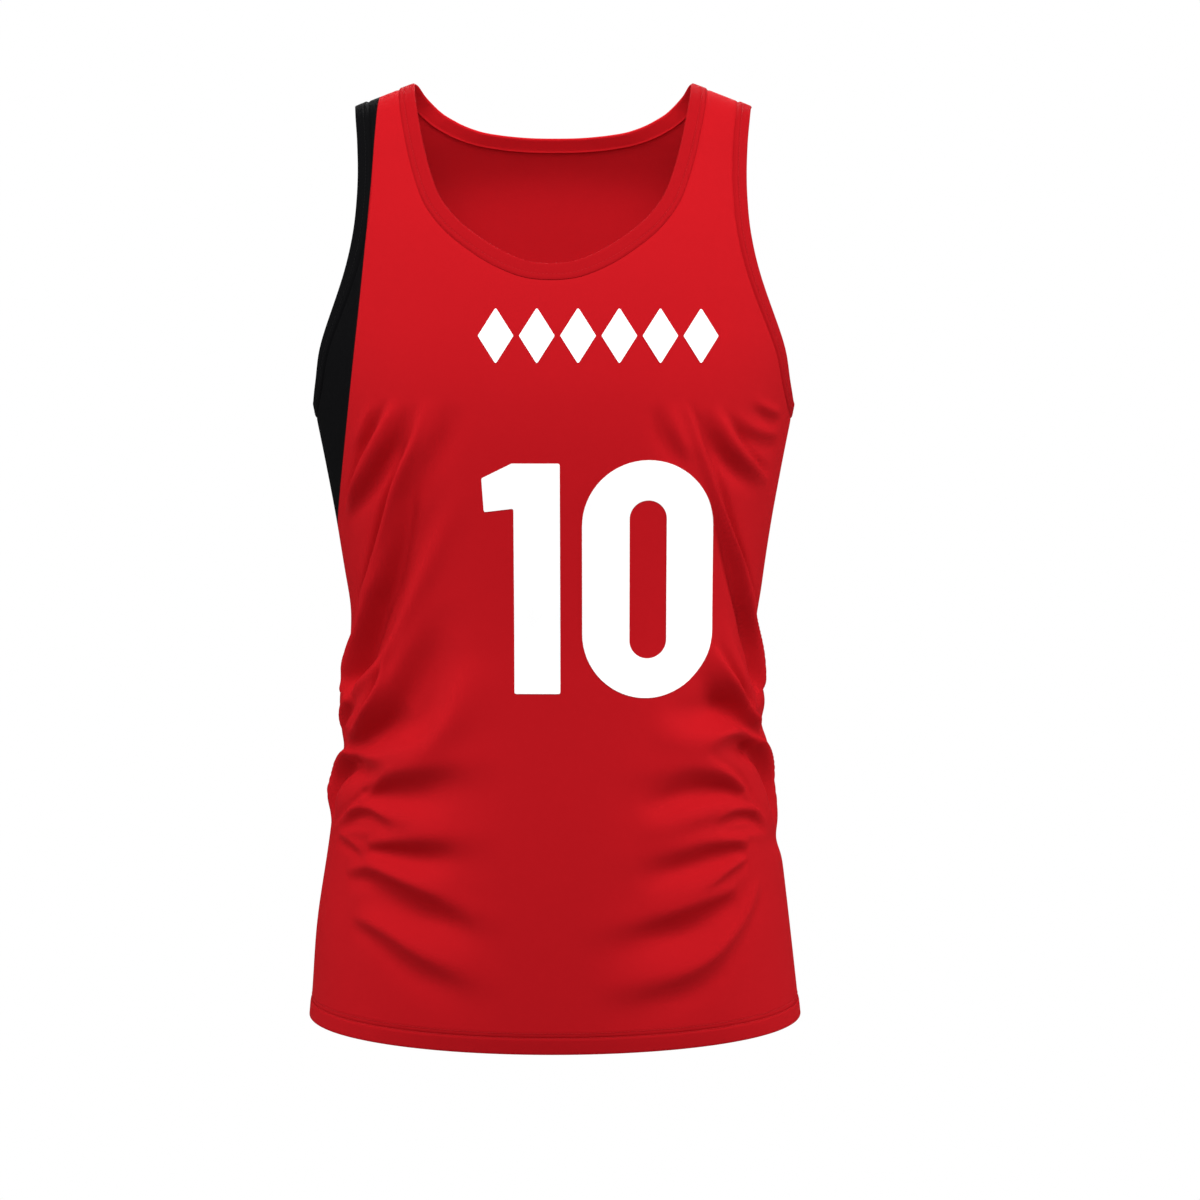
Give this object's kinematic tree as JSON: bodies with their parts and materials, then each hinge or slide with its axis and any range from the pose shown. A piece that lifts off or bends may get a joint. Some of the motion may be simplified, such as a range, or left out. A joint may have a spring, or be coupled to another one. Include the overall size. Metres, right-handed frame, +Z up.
{
  "type": "basketball jersey",
  "caption": "Sleeveless basketball jersey with a scoop neck and banded armholes, hollow and filled out as if worn, open at the neck, armholes and hem.",
  "frame": {"origin": "midway between the two points where the shoulder seams meet the neckband, at the height of those points", "axes": "+Z up along the body, -Y out of the front, +X towards the wearer's left"},
  "size_m": [0.4, 0.239, 0.7446],
  "materials": {
    "body_cloth": "smooth red polyester knit with a soft sheen, printed black down one side",
    "band_cloth": "red polyester knit, folded and stitched",
    "band_cloth_black": "black polyester knit, folded and stitched, red in a narrow sliver beside the strap",
    "print_white": "white heat-pressed film",
    "sewing_thread": "red polyester thread"
  },
  "bodies": {
    "root": {"front_panel": "body_cloth", "back_panel": "body_cloth", "neckband": "band_cloth", "armhole_band_left": "band_cloth", "armhole_band_right": "band_cloth_black"}
  },
  "joints": []
}
